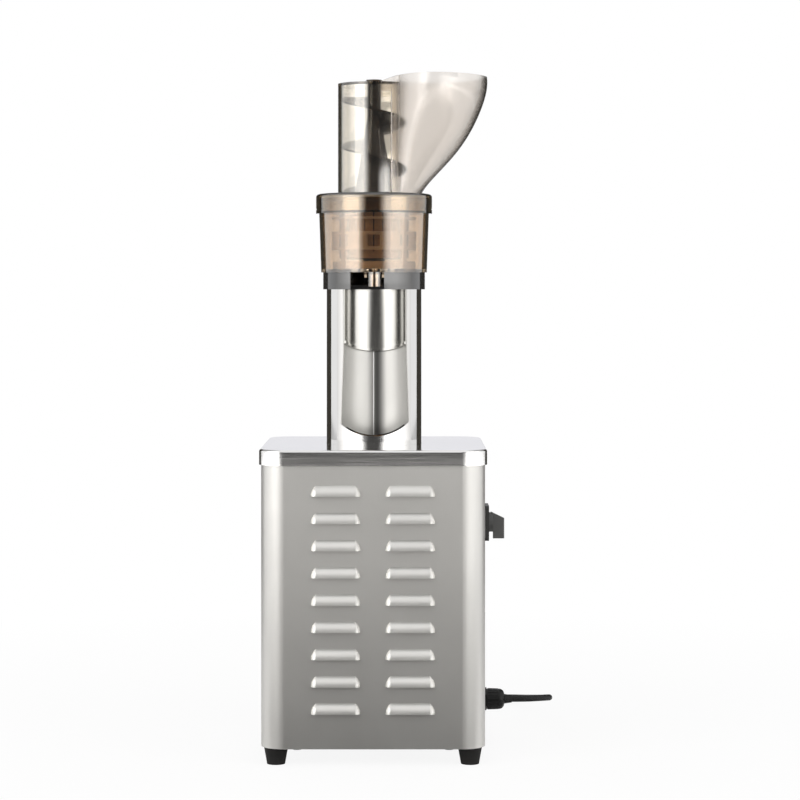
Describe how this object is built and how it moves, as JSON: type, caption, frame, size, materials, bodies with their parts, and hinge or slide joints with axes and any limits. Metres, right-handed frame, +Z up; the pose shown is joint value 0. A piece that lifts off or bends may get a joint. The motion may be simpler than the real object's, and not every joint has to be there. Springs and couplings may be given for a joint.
{
  "type": "slow juicer",
  "caption": "Free-standing market-stall slow juicer: louvred steel box, polished column with a cup recess, amber bowl with a vertical auger, clear side hopper and a mains lead.",
  "frame": {"origin": "middle of the machine's footprint on the floor plane under its feet, the loose lead left out", "axes": "+Z up, -Y out of the louvred front, +X to the hopper, selector and cable gland"},
  "size_m": [0.3513, 0.4438, 0.8035],
  "materials": {
    "body_steel": "satin brushed stainless sheet",
    "cover_steel": "polished stainless sheet",
    "column_steel": "polished stainless tube",
    "niche_steel": "satin stainless sheet",
    "frame_steel": "zinc plated steel",
    "machined_steel": "ground steel",
    "cast_alloy": "sand cast aluminium",
    "motor_paint": "black enamel",
    "lamination": "stacked electrical steel",
    "copper": "enamelled copper wire",
    "foot_rubber": "moulded black rubber",
    "black_plastic": "moulded black plastic",
    "grey_plastic": "moulded grey plastic",
    "pale_plastic": "moulded pale plastic",
    "cord_rubber": "black rubber jacket",
    "pin_brass": "bare brass",
    "capacitor_shell": "drawn aluminium can",
    "seat_grey": "dark grey moulding",
    "bowl_amber": "amber clear moulding",
    "lid_amber": "pale amber clear moulding",
    "hopper_clear": "clear moulding",
    "auger_resin": "dark brown resin",
    "strainer_resin": "amber brown resin",
    "wiper_resin": "amber brown resin",
    "silicone": "soft silicone"
  },
  "bodies": {
    "machine": {"body_shell": "body_steel", "top_cover": "cover_steel", "base_plate": "frame_steel", "rubber_feet": "foot_rubber", "foot_screws": "frame_steel", "frame_posts": "frame_steel", "post_screws": "frame_steel", "support_plate": "frame_steel", "column_tube": "column_steel", "column_flange": "frame_steel", "column_bolts": "frame_steel", "niche_liner": "niche_steel", "splash_guard": "column_steel", "ball_bearings": "machined_steel", "gearbox_case": "cast_alloy", "gearbox_cover": "cast_alloy", "gearbox_bolts": "frame_steel", "motor_can": "motor_paint", "motor_screws": "frame_steel", "motor_bell": "cast_alloy", "stator_core": "lamination", "stator_windings": "copper", "run_capacitor": "capacitor_shell", "capacitor_clamp": "frame_steel", "terminal_block": "pale_plastic", "selector_plate": "grey_plastic", "selector_body": "black_plastic", "gland_body": "black_plastic", "gland_nut": "black_plastic", "gland_locknut": "black_plastic", "cord_sleeve": "cord_rubber", "power_cord": "cord_rubber", "cord_coil": "cord_rubber", "cord_tie": "black_plastic", "plug_body": "cord_rubber", "plug_pins": "pin_brass", "bowl_seat": "seat_grey"},
    "rotor": {"rotor_core": "lamination", "rotor_shaft": "machined_steel", "cooling_fan": "black_plastic"},
    "counter": {"counter_gear": "machined_steel", "counter_shaft": "machined_steel"},
    "drive": {"output_gear": "machined_steel", "output_shaft": "machined_steel", "shaft_coupling": "machined_steel", "drive_shaft": "machined_steel"},
    "selector": {"selector_knob": "black_plastic", "selector_spindle": "machined_steel"},
    "bowl": {"bowl": "bowl_amber", "shaft_seal": "silicone", "strainer": "strainer_resin"},
    "auger": {"auger": "auger_resin"},
    "idler": {"idler_gear": "machined_steel"},
    "wiper": {"wiper_frame": "wiper_resin", "wiper_blades": "silicone"},
    "lid": {"feed_lid": "lid_amber", "hopper": "hopper_clear", "top_bush": "auger_resin", "lid_gasket": "silicone"}
  },
  "joints": [
    {"name": "rotor_spin", "type": "hinge", "parent": "machine", "child": "rotor", "pos_m": [-0.0108, 0, 0], "axis": [0, 0, 1], "continuous": true},
    {"name": "counter_spin", "type": "hinge", "parent": "machine", "child": "counter", "pos_m": [-0.0648, 0, 0], "axis": [0, 0, 1], "continuous": true},
    {"name": "drive_spin", "type": "hinge", "parent": "machine", "child": "drive", "pos_m": [-0.0108, 0, 0], "axis": [0, 0, 1], "continuous": true},
    {"name": "selector_turn", "type": "hinge", "parent": "machine", "child": "selector", "pos_m": [0.12, -0.06, 0.2743], "axis": [1, 0, 0], "range_deg": [-45, 45]},
    {"name": "bowl_lift", "type": "slide", "parent": "machine", "child": "bowl", "axis": [0, 0, 1], "range_m": [0, 0.06]},
    {"name": "auger_spin", "type": "hinge", "parent": "bowl", "child": "auger", "pos_m": [-0.0108, 0, 0], "axis": [0, 0, 1], "continuous": true},
    {"name": "idler_spin", "type": "hinge", "parent": "bowl", "child": "idler", "pos_m": [-0.0408, 0, 0], "axis": [0, 0, 1], "continuous": true},
    {"name": "wiper_spin", "type": "hinge", "parent": "bowl", "child": "wiper", "pos_m": [-0.0108, 0, 0], "axis": [0, 0, 1], "continuous": true},
    {"name": "lid_lift", "type": "slide", "parent": "bowl", "child": "lid", "axis": [0, 0, 1], "range_m": [0, 0.18]}
  ],
  "couplings": [
    {"joint": "counter_spin", "follows": "rotor_spin", "ratio": -0.2},
    {"joint": "drive_spin", "follows": "rotor_spin", "ratio": 0.04},
    {"joint": "auger_spin", "follows": "rotor_spin", "ratio": 0.04},
    {"joint": "idler_spin", "follows": "rotor_spin", "ratio": -0.04},
    {"joint": "wiper_spin", "follows": "rotor_spin", "ratio": -0.013333}
  ]
}
